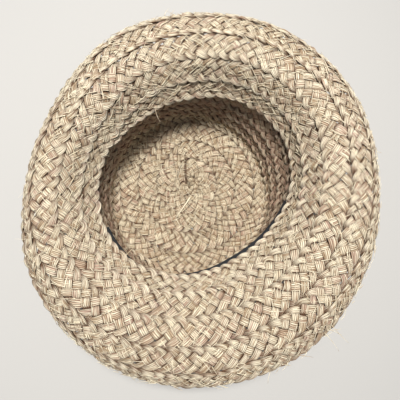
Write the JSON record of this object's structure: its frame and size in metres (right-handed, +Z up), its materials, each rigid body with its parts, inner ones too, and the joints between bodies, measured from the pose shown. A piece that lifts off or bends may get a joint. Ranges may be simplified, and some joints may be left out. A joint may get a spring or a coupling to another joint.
{
  "type": "raffia sun hat",
  "caption": "Raffia sun hat of sewn flat plait, lying upside down on its crown: flat-tipped open crown, wide rolled brim and a narrow navy band inside the head opening.",
  "frame": {"origin": "on the axis of the crown, on the flat underside of the tip, which the hat rests on", "axes": "+Z up out of the head opening, +X to the hat's right side in the picture, +Y to its far side, so the longer front of the brim points to -Y"},
  "size_m": [0.3307, 0.3572, 0.1412],
  "materials": {
    "crown_raffia": "matt plaited raffia, warm straw",
    "brim_raffia": "matt plaited raffia, pale straw",
    "navy_band": "matt woven ribbon, navy"
  },
  "bodies": {
    "root": {"crown": "crown_raffia", "brim": "brim_raffia", "inner_band": "navy_band"}
  },
  "joints": []
}
